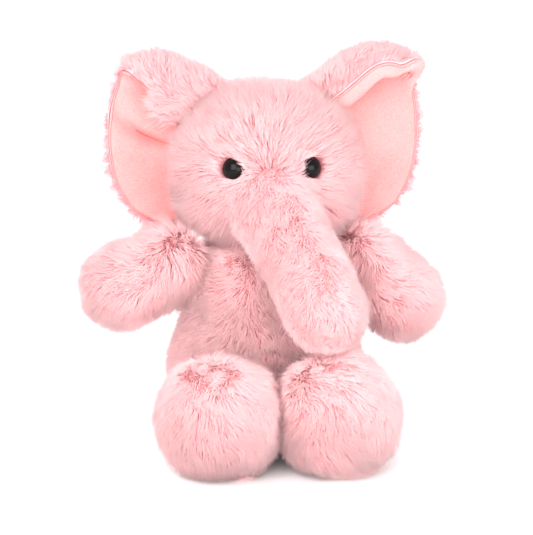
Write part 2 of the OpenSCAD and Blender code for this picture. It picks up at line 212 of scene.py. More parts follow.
def short_nap():
    """Brushed polyester lining: a nap under 2 mm, which reads as fine speckle with a faint sheen."""
    sheen = {"Sheen_Weight": 0.12, "Sheen_Roughness": 0.4}
    made, tree, shader = material("brushed_polyester_nap", Roughness=0.85, **sheen)
    place = node(tree, "ShaderNodeTexCoord").outputs["Object"]
    nap = node(tree, "ShaderNodeTexNoise", {}, Vector=place, Scale=1100.0, Detail=2.0)
    drift = node(tree, "ShaderNodeTexNoise", {}, Vector=place, Scale=45.0, Detail=2.0)
    mixed = node(tree, "ShaderNodeMath", {"operation": "MULTIPLY_ADD"})
    tree.links.new(drift.outputs["Fac"], mixed.inputs[0])
    mixed.inputs[1].default_value = 0.6
    tree.links.new(nap.outputs["Fac"], mixed.inputs[2])
    stops = ((0.45, "#FA8A88"), (0.75, "#FC9896"), (1.0, "#FEA2A0"))
    add_colour(tree, shader, mixed.outputs["Value"], stops)
    add_relief(tree, shader, nap.outputs["Fac"], 0.5, 0.6 * MM)
    return made


def grained(name, scale, low, high, depth, rough, **surface):
    """A material with one fine grain: two colours, relief of a depth in metres, a spread of roughness."""
    made, tree, shader = material(name, **surface)
    place = node(tree, "ShaderNodeTexCoord").outputs["Object"]
    grain = node(tree, "ShaderNodeTexNoise", {}, Vector=place, Scale=scale, Detail=4.0)
    add_colour(tree, shader, grain.outputs["Fac"], ((0.3, low), (0.7, high)))
    add_roughness(tree, shader, grain.outputs["Fac"], *rough)
    add_relief(tree, shader, grain.outputs["Fac"], 0.7, depth)
    return made


def woven(name, pitch, low, high, **surface):
    """Plain weave: two sets of wave bands a thread's pitch apart, crossing, as colour and relief."""
    made, tree, shader = material(name, **surface)
    place = node(tree, "ShaderNodeTexCoord").outputs["Object"]
    scale = np.pi / 10 / pitch
    warp = node(tree, "ShaderNodeTexWave", {"bands_direction": "X"}, Vector=place, Scale=scale)
    weft = node(tree, "ShaderNodeTexWave", {"bands_direction": "Z"}, Vector=place, Scale=scale)
    crossed = node(tree, "ShaderNodeMath", {"operation": "MULTIPLY"})
    tree.links.new(warp.outputs["Fac"], crossed.inputs[0])
    tree.links.new(weft.outputs["Fac"], crossed.inputs[1])
    add_colour(tree, shader, crossed.outputs["Value"], ((0.0, low), (1.0, high)))
    add_relief(tree, shader, crossed.outputs["Value"], 0.6, 0.2 * MM)
    return made


PILE = plush_pile()
EYE = eye_plastic()
LINING = short_nap()
# Teased polyester fibre: matt white, with shallow fluffy pits a few millimetres apart.
FIBREFILL = grained("teased_polyester_fibrefill", 350.0, "#E9E8E4", "#FBFAF8", 0.8 * MM, (0.85, 1.0))
# Spun polyester sewing thread: its twist is drawn at 0.7 mm, coarser than real so that it shows.
THREAD = grained("spun_polyester_thread", 1400.0, "#F09AA2", "#FDC2C6", 0.15 * MM, (0.5, 0.8),
                 Sheen_Weight=0.2)
# Injection-moulded polypropylene: milky, a little waxy.
PELLET = grained("moulded_polypropylene", 300.0, "#E6E8E6", "#F6F7F4", 0.05 * MM, (0.35, 0.5), IOR=1.49)
# Moulded nylon: off-white with the faint grit of a textured mould.
NYLON = grained("moulded_nylon", 1500.0, "#E8E4DA", "#F4F1E8", 0.04 * MM, (0.4, 0.55), IOR=1.53)
# Unbleached cotton, plain weave at 1 mm.
BAG_CLOTH = woven("plain_woven_cotton", 1.0 * MM, "#D9CFBB", "#F3ECDD", Roughness=0.9)
# Woven nylon ribbon: a fine satin-like weave, blank.
RIBBON = woven("woven_nylon_ribbon", 0.6 * MM, "#E7E6E4", "#FDFDFC", Roughness=0.45, Sheen_Weight=0.3)


# ---- forms: outlines turned about an axis ----

def smooth_noise(points, size, seed):
    """Smooth noise of about -1 to 1: a sum of twelve plane waves about size long, in random directions."""
    rng = np.random.default_rng(seed)
    ways = unit(rng.normal(size=(12, 3))) / (size * rng.uniform(0.7, 1.5, (12, 1)))
    phases = rng.uniform(0, 2 * np.pi, 12)
    return np.sin(2 * np.pi * points @ ways.T + phases).sum(1) / 4


def bump(x, centre, width):
    """A smooth hump of height 1 about a centre, falling off over a width."""
    return np.exp(-((x - centre) / width) ** 2)


class Form:
    """A stuffed form: an outline of (radius, along) pairs from pole to pole, turned about an axis.

    A point on it is given by u, the share of the outline's length from its first end, and by turn, the share
    of a full turn, which is 0 at side, a quarter at top and a half opposite side.
    """

    def __init__(self, outline, origin, axis, top):
        outline = np.asarray(outline, float)
        steps = np.linalg.norm(np.diff(outline, axis=0), axis=1)
        share = np.concatenate([[0], np.cumsum(steps)])
        self.length = share[-1]
        fine = np.linspace(0, 1, 400)
        self.share = fine
        self.radius = np.interp(fine, share / share[-1], outline[:, 0])
        self.along = np.interp(fine, share / share[-1], outline[:, 1])
        self.origin = np.asarray(origin, float)
        self.axis = unit(np.asarray(axis, float))
        self.side = unit(np.cross(top, self.axis))
        self.top = np.cross(self.axis, self.side)

    def at(self, u, turn):
        """Points and outward normals at shares u of the outline and turn of a full turn."""
        radius = np.interp(u, self.share, self.radius)
        along = np.interp(u, self.share, self.along)
        rise = np.interp(u + 0.01, self.share, self.along) - np.interp(u - 0.01, self.share, self.along)
        grow = np.interp(u + 0.01, self.share, self.radius) - np.interp(u - 0.01, self.share, self.radius)
        angle = 2 * np.pi * turn
        out = np.cos(angle)[..., None] * self.side + np.sin(angle)[..., None] * self.top
        points = self.origin + radius[..., None] * out + along[..., None] * self.axis
        normals = unit(rise[..., None] * out - grow[..., None] * self.axis)
        return points, normals

    def grid(self, rows, columns, u=(0, 1), turn=(0, 1)):
        """Points and normals on a grid, with rows along the outline and columns round the axis."""
        return self.at(*np.meshgrid(np.linspace(*u, rows), np.linspace(*turn, columns), indexing="ij"))

    def share_at(self, along):
        """The share of the outline at a distance along the axis."""
        return np.interp(along, self.along, self.share)

    def holds(self, points, margin):
        """Which points lie inside the form, or within a margin outside it."""
        local = points - self.origin
        along = local @ self.axis
        away = np.linalg.norm(local - along[:, None] * self.axis, axis=1)
        inside = (along > self.along[0] - margin) & (along < self.along[-1] + margin)
        return inside & (away < np.interp(along, self.along, self.radius) + margin)


def arc(radius, centre, first, last, count=24):
    """Points (radius, along) of an arc about a point on the axis, between two angles in degrees."""
    angle = np.radians(np.linspace(first, last, count))
    return np.stack([radius * np.cos(angle), centre + radius * np.sin(angle)], axis=1)


def taper(root_r, tip_r, length):
    """Outline of two balls and the cone that touches both."""
    lean = np.degrees(np.arcsin((tip_r - root_r) / length))
    return np.concatenate([arc(root_r, 0, -90, -lean), arc(tip_r, length, -lean, 90)])


def oval(half_w, half_h):
    """Outline of an egg: half an ellipse, half_w from the axis and half_h along it each way."""
    angle = np.radians(np.linspace(-90, 90, 60))
    return np.stack([half_w * np.cos(angle), half_h * np.sin(angle)], axis=1)


# ---- meshes ----

def weld(points, triangles):
    """Joins points that coincide, and drops the triangles that this flattens to a line."""
    _, first, joined = np.unique(np.round(points / 1e-7), axis=0, return_index=True, return_inverse=True)
    triangles = joined.reshape(-1)[triangles]
    a, b, c = triangles.T
    whole = (a != b) & (b != c) & (c != a)
    return first, triangles[whole]


def grid_triangles(rows, columns, flip=False):
    """Two triangles for each cell of a grid of points numbered row by row."""
    corner = (np.arange(rows - 1)[:, None] * columns + np.arange(columns - 1)).reshape(-1)
    first = np.stack([corner, corner + 1, corner + columns + 1], axis=1)
    second = np.stack([corner, corner + columns + 1, corner + columns], axis=1)
    made = np.concatenate([first, second])
    return made[:, ::-1] if flip else made


def shell(outer, inner):
    """A closed wall between two grids of points: both faces, and a rim along the edges that are open."""
    rows, columns = outer.shape[:2]
    count = rows * columns
    points = np.concatenate([outer.reshape(-1, 3), inner.reshape(-1, 3)])
    faces = [grid_triangles(rows, columns), grid_triangles(rows, columns, flip=True) + count]
    index = np.arange(count).reshape(rows, columns)
    edges = [index[0, ::-1], index[-1]]
    if not np.allclose(outer[:, 0], outer[:, -1], atol=1e-7):
        edges += [index[:, 0], index[::-1, -1]]
    for edge in edges:
        near, far = edge[:-1], edge[1:]
        faces.append(np.stack([near, near + count, far + count], axis=1))
        faces.append(np.stack([near, far + count, far], axis=1))
    return points, np.concatenate(faces)


def welded_shell(outer, inner):
    """A shell with the points that coincide joined."""
    points, triangles = shell(outer, inner)
    first, triangles = weld(points, triangles)
    return points[first], triangles


def add_mesh(name, points, triangles, material_used, values=None, uv=None):
    """A new object from points and triangles, with a value per point for each named attribute."""
    mesh = bpy.data.meshes.new(name)
    mesh.vertices.add(len(points))
    mesh.vertices.foreach_set("co", points.astype(np.float32).reshape(-1))
    mesh.loops.add(triangles.size)
    mesh.loops.foreach_set("vertex_index", triangles.astype(np.int32).reshape(-1))
    mesh.polygons.add(len(triangles))
    mesh.polygons.foreach_set("loop_start", np.arange(0, triangles.size, 3, dtype=np.int32))
    mesh.polygons.foreach_set("use_smooth", np.ones(len(triangles), bool))
    mesh.update(calc_edges=True)
    for attribute, numbers in (values or {}).items():
        layer = mesh.attributes.new(attribute, "FLOAT", "POINT")
        layer.data.foreach_set("value", numbers.astype(np.float32))
    if uv is not None:
        layer = mesh.uv_layers.new(name="OFBake")
        layer.data.foreach_set("uv", uv[triangles.reshape(-1)].astype(np.float32).reshape(-1))
    mesh.materials.append(material_used)
    made = bpy.data.objects.new(name, mesh)
    bpy.context.scene.collection.objects.link(made)
    return made


def settle(piece, body, nodes=()):
    """Makes a piece ride on its body and stand for its CAD nodes, which it hides."""
    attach(piece, body)
    if nodes:
        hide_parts(*nodes)
    return piece


# ---- fur ----

# The backing cloth's thickness, and how far its soft lumps stand out.
BACKING = 1.2 * MM
LUMP = 0.8 * MM
# Pile: a strand's radius at its root, strands per square metre, a lock's width, and sideways scatter.
STRAND_R = 0.175 * MM
DENSITY = 3.7e6
LOCK = 4 * MM
STRAY = 0.25
# How deep a strand's root stands in the backing, and how far a form must cover pile to hide it.
ROOT_DEPTH = 0.3 * MM
COVERED = 2 * MM


def strand_mesh(root, tip, normal):
    """Closed three-sided spikes: a ring of three points at each root and one point at each tip."""
    way = unit(tip - root)
    across = unit(np.cross(way, normal))
    over = np.cross(across, way)
    angle = 2 * np.pi * np.arange(3) / 3
    ring = np.cos(angle)[:, None, None] * across + np.sin(angle)[:, None, None] * over
    count = len(root)
    points = np.empty((count, 4, 3))
    points[:, 0:3] = (root + STRAND_R * ring).transpose(1, 0, 2)
    points[:, 3] = tip
    spike = np.array([(0, 1, 2), (0, 3, 1), (1, 3, 2), (2, 3, 0)])
    triangles = (spike + 4 * np.arange(count)[:, None, None]).reshape(-1, 3)
    return points.reshape(-1, 3), triangles


def nearest(points, seeds):
    """For each point, the number of the nearest seed."""
    found = [
        ((part[:, None] - seeds) ** 2).sum(2).argmin(1)
        for part in np.array_split(points, max(1, len(points) * len(seeds) // 2_000_000))
    ]
    return np.concatenate(found)


def lying(points, normals, way):
    """The way pile lies: a wanted direction laid flat on the surface, and turned a little by noise."""
    flat = unit(way - (way * normals).sum(1, keepdims=True) * normals)
    turn = (0.6 * smooth_noise(points, 26 * MM, 3) + 0.45 * smooth_noise(points, 9 * MM, 4))[:, None]
    return np.cos(turn) * flat + np.sin(turn) * np.cross(normals, flat)


def grow(points, normals, comb, pile, stand, rng):
    """Tips of pile on a surface. Each tip is drawn towards the tip of the lock that it belongs to."""
    count = len(points)
    seeds = rng.choice(count, max(1, int(count / DENSITY / LOCK ** 2)), replace=False)
    lock = nearest(points, points[seeds])

    def reach(at, facing, spread):
        length = pile * (1 + spread * rng.uniform(-1, 0.6, (len(at), 1)))
        height = stand * (1 + spread * rng.uniform(-1, 1.4, (len(at), 1)))
        away = np.sqrt(np.maximum(length ** 2 - height ** 2, (0.2 * length) ** 2))
        stray = away * STRAY * rng.normal(size=(len(at), 1)) * unit(np.cross(facing, comb(at, facing)))
        return height * facing + away * lying(at, facing, comb(at, facing)) + stray

    own = reach(points, normals, 0.4)
    seed_points = points[seeds]
    tips = seed_points + reach(seed_points, normals[seeds], 0.35)
    pull = rng.uniform(0.0, 0.4, (count, 1))
    tip = (1 - pull) * (points + own) + pull * tips[lock]
    tone = 0.5 + 0.22 * rng.normal(size=len(seeds))[lock] + 0.12 * rng.normal(size=count)
    tone += 0.25 * smooth_noise(points, 30 * MM, 8)
    return tip, np.clip(tone, 0.02, 0.98)


def facing_of(grid):
    """Outward normals of a grid of points: the cross product of its two slopes."""
    return unit(np.cross(np.gradient(grid, axis=1), np.gradient(grid, axis=0)))


def sow(grid, facing, rng):
    """Roots and normals spread evenly over a grid of points, and their shares of its rows and columns."""
    a, b, c, d = grid[:-1, :-1], grid[1:, :-1], grid[:-1, 1:], grid[1:, 1:]
    size = np.linalg.norm(np.cross(d - a, b - c), axis=2) / 2
    count = int(size.sum() * DENSITY)
    cell = rng.choice(size.size, count, p=(size / size.sum()).reshape(-1))
    row, column = np.unravel_index(cell, size.shape)
    down, over = rng.uniform(size=(2, count, 1))

    def blend(field):
        near = field[row, column] * (1 - over) + field[row, column + 1] * over
        far = field[row + 1, column] * (1 - over) + field[row + 1, column + 1] * over
        return near * (1 - down) + far * down

    at_row = (row + down[:, 0]) / size.shape[0]
    at_column = (column + over[:, 0]) / size.shape[1]
    return blend(grid), unit(blend(facing)), at_row, at_column


def off_eyes(feet, tips, rng):
    """Parts the pile round each eye: a strand that would cross the dome is swung out to its rim."""
    for centre, way in EYES.values():
        limit = EYE_R - rng.uniform(-0.5, 1.2, len(tips)) * MM
        for share in (0.4, 0.7, 1.0):
            away = feet + share * (tips - feet) - centre
            height = away @ way
            flat = away - height[:, None] * way
            distance = np.maximum(np.linalg.norm(flat, axis=1), 1e-9)
            near = (distance < limit) & (height < 3 * EYE_H) & (height > -2 * EYE_H)
            tips[near] += (flat * (limit / distance - 1)[:, None])[near] / share
    return tips


def hidden(roots, under):
    """Which roots grow no pile, because another form or an eye covers them."""
    bare = np.zeros(len(roots), bool)
    for other in under:
        bare |= other.holds(roots, -COVERED)
    for centre, way in EYES.values():
        bare |= np.linalg.norm(np.cross(roots - centre, way), axis=1) < EYE_R - 1 * MM
    return bare


def bake_places(rows, columns, first, tone, along):
    """Places in a baked picture: tone across and along upwards, with the backing in the lowest corner."""
    skin_u, skin_v = np.meshgrid(np.linspace(0, 0.04, rows), np.linspace(0, 0.01, columns), indexing="ij")
    skin = np.stack([skin_u.reshape(-1), skin_v.reshape(-1)], axis=1)
    skin = np.concatenate([skin, skin + [0.05, 0]])[first]
    strands = len(tone) // 4
    hair_u = tone + np.tile([-0.004, 0, 0.004, 0], strands)
    hair_v = 0.02 + 0.97 * along + np.tile([0, 0.004, 0, 0], strands)
    return np.concatenate([skin, np.stack([hair_u, hair_v], axis=1)])


def fur_patch(name, nodes, body, grid, facing, comb, pile=10 * MM, stand=5 * MM, under=(), seed=0,
              length_at=None, lean_at=None):
    """A panel of plush: its backing cloth, a grid of points, and the pile planted on it.

    comb gives the direction in which the pile lies, pile its length and stand how far it stands off. No pile
    grows under the forms that hide the panel. length_at gives the share of the pile's length at roots and at
    their places along the rows and columns, and lean_at how far its tips lean through to the other side.
    """
    rng = np.random.default_rng(seed)
    rows, columns = grid.shape[:2]
    skin, faces = shell(grid, grid - BACKING * facing)
    roots, normals, at_row, at_column = sow(grid, facing, rng)
    grown = ~hidden(roots, under)
    roots, normals, at_row, at_column = roots[grown], normals[grown], at_row[grown], at_column[grown]
    tips, tone = grow(roots, normals, comb, pile, stand, rng)
    if length_at is not None:
        tips = roots + (tips - roots) * length_at(roots, at_row, at_column)[:, None]
    if lean_at is not None:
        tips = tips - lean_at(roots, at_row, at_column)[:, None] * normals
    feet = roots - ROOT_DEPTH * normals
    tips = off_eyes(feet, tips, rng)
    off_floor = (0.35 + 0.8 * rng.uniform(size=len(tips))) * MM
    tips[:, 2] = np.maximum(tips[:, 2], off_floor)
    feet[:, 2] = np.maximum(feet[:, 2], 0.3 * MM)
    hair, hair_faces = strand_mesh(feet, tips, normals)
    first, faces = weld(skin, faces)
    skin = skin[first]
    skin[:, 2] = np.maximum(skin[:, 2], 0.1 * MM)
    points = np.concatenate([skin, hair])
    triangles = np.concatenate([faces, hair_faces + len(skin)])
    along = np.tile([0, 0, 0, 1.0], len(tips))
    tone = np.repeat(tone, 4)
    values = {
        # The backing cloth takes the deep coral of the pile's foot: painted shade, so the gaps between
        # strands read dark coral.
        "along": np.concatenate([np.full(len(skin), 0.1), along]),
        "tone": np.concatenate([np.full(len(skin), 0.5), tone]),
    }
    uv = bake_places(rows, columns, first, tone, along)
    piece = add_mesh(name, points, triangles, PILE, values, uv)
    return settle(piece, body, nodes)


def fur_panel(name, nodes, body, form, along, turn, comb, **more):
    """A panel of plush on the patch of a form between two distances along it and two shares of a turn."""
    u0, u1 = form.share_at(np.asarray(along, float))
    rows = max(5, int((u1 - u0) * form.length / (2.5 * MM)))
    columns = max(9, int((turn[1] - turn[0]) * 2 * np.pi * form.radius.max() / (3 * MM)))
    grid, facing = form.grid(rows, columns, (u0, u1), turn)
    lumps = LUMP * smooth_noise(grid.reshape(-1, 3), 24 * MM, 5).reshape(rows, columns, 1)
    return fur_patch(name, nodes, body, grid + lumps * facing, facing, comb, **more)


# ---- the elephant's forms ----

JOINTS = {joint["name"]: np.array(joint["pos_m"]) for joint in frame["joints"]}
TORSO_H = 97 * MM
SEAT_R = 34 * MM
WIDE_R = 45 * MM
WIDE_Z = 32 * MM
SHOULDER_R = 37 * MM
SHOULDER_ROUND = 24 * MM
COLLAR_R = 16 * MM
NECK_R = 22 * MM
HEAD_HALF_W = 44 * MM
HEAD_HALF_H = 37.5 * MM
GUSSET_HALF_W = 9 * MM
TRUNK_ROOT_R = 20 * MM
TRUNK_ROOT_LEN = 28.5 * MM
TRUNK_R = 17 * MM
TRUNK_TIP_R = 16.5 * MM
TRUNK_TIP_LEN = 20 * MM
ARM_R = 14 * MM
PAW_R = 18 * MM
HIP_R = 14 * MM
FOOT_R = 28 * MM
SOLE_SEAM = 19 * MM
EYE_R = 6 * MM
EYE_H = 5 * MM
EYE_X = 18.4 * MM
EYE_RISE = 4.5 * MM
STEM_R = 1.75 * MM
STEM_LEN = 13 * MM
TAIL_ROOT_R = 5.5 * MM
TAIL_TIP_R = 6 * MM


def torso_outline():
    """A rounded seat edge, a slow cosine in to the shoulders, and a rounded top, from the seat up."""
    z = TORSO_H * (1 - np.cos(np.linspace(0, np.pi, 80))) / 2
    seat = SEAT_R + (WIDE_R - SEAT_R) * np.sqrt(np.maximum(0, 1 - (1 - z / WIDE_Z) ** 2))
    waist_h = TORSO_H - SHOULDER_ROUND - WIDE_Z
    waist = SHOULDER_R + (WIDE_R - SHOULDER_R) * (1 + np.cos(np.pi * (z - WIDE_Z) / waist_h)) / 2
    top_share = 1 - (TORSO_H - z) / SHOULDER_ROUND
    top = COLLAR_R + (SHOULDER_R - COLLAR_R) * np.sqrt(np.maximum(0, 1 - np.maximum(0, top_share) ** 2))
    radius = np.where(z < WIDE_Z, seat, np.where(z < TORSO_H - SHOULDER_ROUND, waist, top))
    body = np.stack([radius, z], axis=1)
    return np.concatenate([[[0, -0.01 * MM]], body, [[0, TORSO_H + 0.01 * MM]]])


def ball_in(node_name, radius, side):
    """Centre of the ball at a node's outer, lower, front end: a radius in from its box on each side."""
    low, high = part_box(node_name)
    x = high.x - radius if side == LEFT else low.x + radius
    return np.array([x, low.y + radius, low.z + radius])


head_low, head_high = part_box("head_gusset")
HEAD_CENTRE = np.array([0, head_low.y + HEAD_HALF_H, head_high.z - HEAD_HALF_H])
BEND_1 = JOINTS["trunk_lift"]
BEND_2 = JOINTS["trunk_curl"]
TRUNK_WAY = unit(BEND_2 - BEND_1)
TRUNK_TOP = unit(UP - (UP @ TRUNK_WAY) * TRUNK_WAY)
TRUNK_START = BEND_1 - TRUNK_ROOT_LEN * TRUNK_WAY
TRUNK_MIDDLE_LEN = np.linalg.norm(BEND_2 - BEND_1)

torso = Form(torso_outline(), (0, 0, 0), UP, (0, 1, 0))
neck = Form(arc(NECK_R, 0, -90, 90, 60), JOINTS["head_turn"], UP, (0, 1, 0))
head = Form(oval(HEAD_HALF_H, HEAD_HALF_W), HEAD_CENTRE, (1, 0, 0), UP)
trunk_root = Form(taper(TRUNK_ROOT_R, TRUNK_R, TRUNK_ROOT_LEN), TRUNK_START, TRUNK_WAY, TRUNK_TOP)
trunk_middle = Form(taper(TRUNK_R, TRUNK_R, TRUNK_MIDDLE_LEN), BEND_1, TRUNK_WAY, TRUNK_TOP)
trunk_tip = Form(taper(TRUNK_R, TRUNK_TIP_R, TRUNK_TIP_LEN), BEND_2, TRUNK_WAY, TRUNK_TOP)


def eye_place(side):
    """Where an eye sits on the head's egg, and the direction straight out of the face there."""
    x, z = side * EYE_X / HEAD_HALF_W, EYE_RISE / HEAD_HALF_H
    on_unit_ball = np.array([x, -np.sqrt(1 - x * x - z * z), z])
    half = np.array([HEAD_HALF_W, HEAD_HALF_H, HEAD_HALF_H])
    return HEAD_CENTRE + half * on_unit_ball, unit(on_unit_ball / half)


EYES = {side: eye_place(side) for side, _ in SIDES}


def limb(root, end, root_r, end_r, top):
    """A limb between the centres of two balls, at its joint and at its end."""
    way = end - root
    return Form(taper(root_r, end_r, np.linalg.norm(way)), root, way, top)


arms = {}
legs = {}
for side, word in SIDES:
    paw = ball_in(f"arm_{word}_front", PAW_R, side)
    arms[side] = limb(JOINTS[f"arm_{word}_raise"], paw, ARM_R, PAW_R, (0, 1, 0))
    hip = JOINTS[f"leg_{word}_swing"]
    foot = np.array([hip[0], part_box(f"leg_{word}_sole")[0].y + FOOT_R, FOOT_R])
    legs[side] = limb(hip, foot, HIP_R, FOOT_R, UP)


# ---- combing ----

FACE = HEAD_CENTRE + np.array([0, -HEAD_HALF_H, -2 * MM])


def comb_head(points, normals):
    """Out from between the eyes all round the head, and down over the cheeks."""
    return unit(points - FACE) + 0.35 * np.array([0, 0.3, -1.0]) * (points[:, 2:] < HEAD_CENTRE[2])


def comb_trunk(points, normals):
    """Parted along the top: out to both sides, and on towards the tip."""
    across = np.cross(TRUNK_WAY, TRUNK_TOP)
    offset = (points - TRUNK_START) @ across
    return 1.1 * TRUNK_WAY + np.clip(offset / (5 * MM), -1, 1)[:, None] * across


def comb_down(points, normals):
    """Down, and a little outwards from the middle of the belly."""
    return np.stack([8 * points[:, 0], 0.3 * points[:, 1], np.full(len(points), -1.0)], axis=1)


def comb_limb(form):
    """Along a limb to its end, and down."""
    return lambda points, normals: np.broadcast_to(form.axis + np.array([0, 0, -0.4]), points.shape)


def comb_foot(points, normals):
    """Forward over the foot and down its sole, a little to the elephant's left."""
    return np.broadcast_to(np.array([0.3, -0.35, -0.9]), points.shape)


# ---- torso ----

fur_panel("torso_front_plush", ["torso_front"], "torso", torso, (2.5 * MM, TORSO_H), (0.5, 1.0), comb_down,
          under=(neck, arms[LEFT], arms[RIGHT], legs[LEFT], legs[RIGHT], trunk_tip), seed=11)
fur_panel("torso_back_plush", ["torso_back"], "torso", torso, (2.5 * MM, TORSO_H), (0.0, 0.5), comb_down,
          under=(neck, arms[LEFT], arms[RIGHT]), seed=12)
fur_panel("torso_base_plush", ["torso_base"], "torso", torso, (-1 * MM, 2.5 * MM), (0.0, 1.0), comb_down,
          stand=1 * MM, seed=13)
fur_panel("neck_plush", ["neck_plug"], "neck", neck, (-9 * MM, 10 * MM), (0.0, 1.0), comb_down, seed=14)

# ---- head ----

HEAD_UNDER = (neck, trunk_root)


def full_cheeks(points, row, column):
    """Longer pile low on the head's sides, which fills the corner above each shoulder."""
    low = bump(points[:, 2], HEAD_CENTRE[2] - 24 * MM, 15 * MM)
    return 1 + 0.55 * low * bump(np.abs(points[:, 0]), 32 * MM, 16 * MM)


for name, low, high in (("head_side_right", -HEAD_HALF_W, -GUSSET_HALF_W),
                        ("head_gusset", -GUSSET_HALF_W, GUSSET_HALF_W),
                        ("head_side_left", GUSSET_HALF_W, HEAD_HALF_W)):
    fur_panel(name + "_plush", [name], "head", head, (low, high), (0.0, 1.0), comb_head, under=HEAD_UNDER,
              pile=11 * MM, stand=6 * MM, seed=int(abs(low) * 1e4) + 20, length_at=full_cheeks)

# ---- trunk ----

TRUNK_PARTS = (
    ("trunk_root", "head", trunk_root, (-TRUNK_ROOT_R, 22 * MM), (head, neck)),
    ("trunk_middle", "trunk_middle", trunk_middle, (-10 * MM, TRUNK_MIDDLE_LEN - 2 * MM), ()),
    ("trunk_tip", "trunk_tip", trunk_tip, (-8 * MM, TRUNK_TIP_LEN + TRUNK_TIP_R), ()),
)
for number, (name, body, form, along, under) in enumerate(TRUNK_PARTS):
    for half, turn, seed in (("top", (0.0, 0.5), 30), ("under", (0.5, 1.0), 40)):
        fur_panel(f"{name}_{half}_plush", [f"{name}_{half}"], body, form, along, turn, comb_trunk,
                  pile=8 * MM, stand=3.5 * MM, under=under, seed=seed + number)

# ---- arms and legs ----

def full_shoulder(points, row, column):
    """Longer pile at the top of an arm, which closes the corner under the head."""
    return 1 + 0.6 * bump(row, 0.15, 0.25)


for side, word in SIDES:
    arm = arms[side]
    for half, turn, seed in (("rear", (0.0, 0.5), 50), ("front", (0.5, 1.0), 54)):
        fur_panel(f"arm_{word}_{half}_plush", [f"arm_{word}_{half}"], f"arm_{word}", arm,
                  (-ARM_R, arm.along[-1]), turn, comb_limb(arm), pile=10 * MM, stand=4.5 * MM,
                  under=(torso,), seed=seed + side, length_at=full_shoulder)
    leg = legs[side]
    sole = leg.along[-1] - FOOT_R + SOLE_SEAM
    for part, along, turn, seed in (("upper", (-HIP_R, sole), (0.0, 0.5), 60),
                                    ("under", (-HIP_R, sole), (0.5, 1.0), 64),
                                    ("sole", (sole, leg.along[-1]), (0.0, 1.0), 68)):
        fur_panel(f"leg_{word}_{part}_plush", [f"leg_{word}_{part}"], f"leg_{word}", leg, along, turn,
                  comb_foot, pile=11 * MM, stand=4 * MM, under=() if part == "sole" else (torso,),
                  seed=seed + side)

tail_low, tail_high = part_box("tail")
tail_end = np.array([0, tail_high.y - TAIL_TIP_R, tail_low.z + TAIL_TIP_R])
tail = limb(JOINTS["tail_swing"], tail_end, TAIL_ROOT_R, TAIL_TIP_R, UP)
fur_panel("tail_plush", ["tail"], "tail", tail, (tail.along[0], tail.along[-1]), (0.0, 1.0), comb_limb(tail),
          pile=8 * MM, stand=3 * MM, seed=80)

# ---- eyes ----

def eye(side, word):
    """A polished dome over a flat underside, on a stem that ends in a cone, turned about the eye's axis."""
    centre, way = EYES[side]
    dome = arc(EYE_R, 0, 0, 90, 24) * (1, EYE_H / EYE_R)
    stem = [(0, -STEM_LEN), (0.5 * STEM_R, -STEM_LEN), (STEM_R, -STEM_LEN + STEM_R), (STEM_R, -0.2 * MM),
            (EYE_R - 0.5 * MM, -0.2 * MM), (EYE_R - 0.1 * MM, -0.05 * MM)]
    form = Form(np.concatenate([stem, dome]), centre + 0.1 * MM * way, way, UP)
    rows, columns = 90, 65
    points, _ = form.grid(rows, columns)
    first, faces = weld(points.reshape(-1, 3), grid_triangles(rows, columns))
    piece = add_mesh(f"eye_{word}_dome", points.reshape(-1, 3)[first], faces, EYE)
    settle(piece, "head", [f"eye_{word}"])


for side, word in SIDES:
    eye(side, word)

# ---- ears ----

EAR_PLANE = 18 * MM
EAR_ROOT_HALF = 22 * MM
ROLL_R = 3.5 * MM
LINING_T = 1.4 * MM
CUP = 4 * MM
RIM_LEAN = 4 * MM
# How far the fur's outer face lies behind an ear's middle sheet, and the lining's back in front of it.
EAR_FUR_OFF = 1.6 * MM
EAR_LINING_OFF = 0.3 * MM
# Each ear's rim, from its low end at the head, round and up to its high end: turn, and how far out and up
# from the hinge, in millimetres.
LOW_RIM = ((-1, -11, -34), (-0.8, 0, -41), (-0.6, 12, -41), (-0.4, 24, -34), (-0.2, 32, -19), (0, 35, -1))
RIM = {
    LEFT: (*LOW_RIM, (0.2, 34, 19), (0.35, 31, 32), (0.45, 26, 40), (0.55, 16, 44), (0.65, 6, 42.5),
           (0.78, -5, 37), (0.9, -14, 30), (1, -24, 22)),
    RIGHT: (*LOW_RIM, (0.2, 34, 19), (0.35, 29, 33), (0.45, 21, 40), (0.6, 8, 42), (0.75, -5, 36),
            (0.9, -16, 29), (1, -26, 22)),
}
# How far each ear's top hangs forward over itself: turn, and length of the flap in millimetres.
FLAP = {
    LEFT: ((0.35, 0), (0.45, 3), (0.55, 5), (0.65, 9), (0.78, 12), (1, 12)),
    RIGHT: ((0.42, 0), (0.5, 11), (0.6, 21), (0.75, 24), (0.9, 22), (1, 18)),
}
# How much of the left ear's flap is turned up again, so that its lining shows.
TURN_UP = {LEFT: ((0.35, 0), (0.45, 6), (1, 6)), RIGHT: ((0, 0), (1, 0))}
# Hollows and creases: turn at the root, turn at the rim, width in turn, and depth in millimetres.
CREASES = {
    LEFT: ((0.7, 0.62, 0.3, 7), (0.05, 0.1, 0.2, 1.5)),
    RIGHT: ((-0.13, 0.17, 0.055, 7), (-0.45, -0.5, 0.25, 1.5)),
}


def through(knots, turn):
    """A smooth line of values through knots: joined straight, then averaged with their neighbours."""
    values = np.stack([np.interp(turn, [k[0] for k in knots], [k[i] for k in knots])
                       for i in range(1, len(knots[0]))], axis=-1)
    for _ in range(12):
        values[1:-1] = (values[:-2] + 2 * values[1:-1] + values[2:]) / 4
    return values * MM


